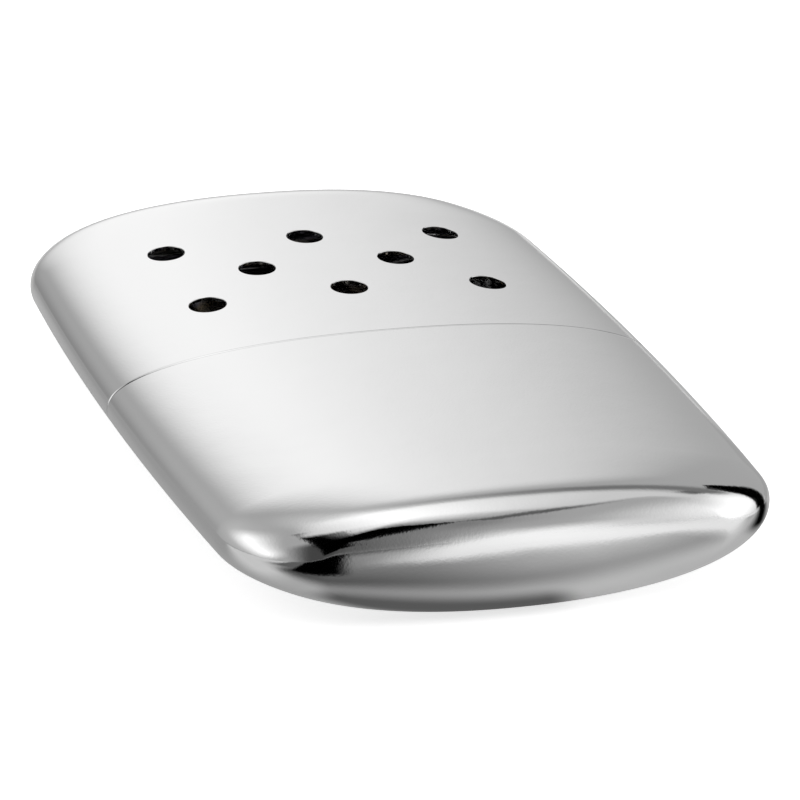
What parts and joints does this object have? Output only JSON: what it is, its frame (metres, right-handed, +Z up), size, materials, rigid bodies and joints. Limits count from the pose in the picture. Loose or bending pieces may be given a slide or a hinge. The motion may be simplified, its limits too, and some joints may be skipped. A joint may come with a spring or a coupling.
{
  "type": "catalytic hand warmer",
  "caption": "Catalytic hand warmer: a cotton-filled fuel tank with a clip-on burner and a vented slide-off cap, in chromed drawn metal, lying on its back.",
  "frame": {"origin": "centre of the lying object's base, on the flat of its back", "axes": "X across the width, +Y along the length to the cap's end, +Z up through the thickness"},
  "size_m": [0.0666, 0.101, 0.014],
  "materials": {
    "chrome_plate": "mirror-polished chrome plate over drawn brass",
    "satin_plate": "satin nickel plate, as pressed",
    "burner_sheet": "stamped stainless sheet, lightly heat-tinted",
    "wire_gauze": "fine woven stainless wire",
    "glass_fibre": "grey-white glass-fibre mat that carries the catalyst",
    "felt": "dense pressed wool felt",
    "cotton": "loose cotton wool"
  },
  "bodies": {
    "tank": {"tank_shell": "chrome_plate", "tank_shoulder": "satin_plate", "filler_neck": "satin_plate", "neck_felt": "felt", "cotton_wad_left": "cotton", "cotton_wad_middle": "cotton", "cotton_wad_right": "cotton"},
    "burner": {"burner_skirt": "burner_sheet", "seat_gauze": "wire_gauze", "burner_cage": "burner_sheet", "cage_gauze": "wire_gauze", "catalyst_mat": "glass_fibre", "cage_top": "burner_sheet"},
    "cap": {"cap_shell": "chrome_plate"}
  },
  "joints": [
    {"name": "cap_slide", "type": "slide", "parent": "tank", "child": "cap", "axis": [0, 1, 0], "range_m": [0, 0.045]},
    {"name": "burner_slide", "type": "slide", "parent": "tank", "child": "burner", "axis": [0, 1, 0], "range_m": [0, 0.015]}
  ]
}
